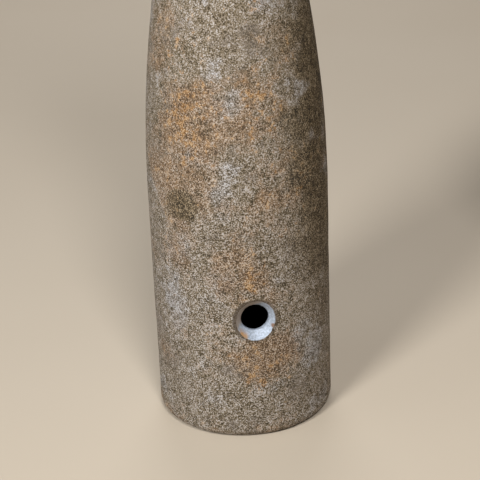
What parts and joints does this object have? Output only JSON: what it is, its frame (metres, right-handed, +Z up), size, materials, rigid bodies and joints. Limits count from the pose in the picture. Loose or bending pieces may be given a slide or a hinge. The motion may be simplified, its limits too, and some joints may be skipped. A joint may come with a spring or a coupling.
{
  "type": "mortar and pestle",
  "caption": "Rusted cast-iron mortar with a hollow, ogive-sided iron pestle standing on end beside it.",
  "frame": {"origin": "centre of the mortar's foot, on the surface that the mortar and the pestle stand on", "axes": "+Z up along the mortar's axis; the pestle stands along -X from the mortar, and its side hole opens along -Y"},
  "size_m": [0.2534, 0.126, 0.254],
  "materials": {
    "mortar_iron": "rusted and pitted",
    "pestle_iron": "finely pitted, worn grey iron with rust patches",
    "plug_iron": "worn grey iron",
    "handle_iron": "finely pitted, worn grey iron",
    "pin_iron": "worn iron"
  },
  "bodies": {
    "mortar": {"mortar": "mortar_iron"},
    "pestle": {"pestle_shell": "pestle_iron", "pestle_face_plug": "plug_iron", "pestle_handle": "handle_iron", "handle_pin": "pin_iron"}
  },
  "joints": [
    {"name": "pestle_lift", "type": "slide", "parent": "mortar", "child": "pestle", "axis": [0, 0, 1], "range_m": [0, 0.2]}
  ]
}
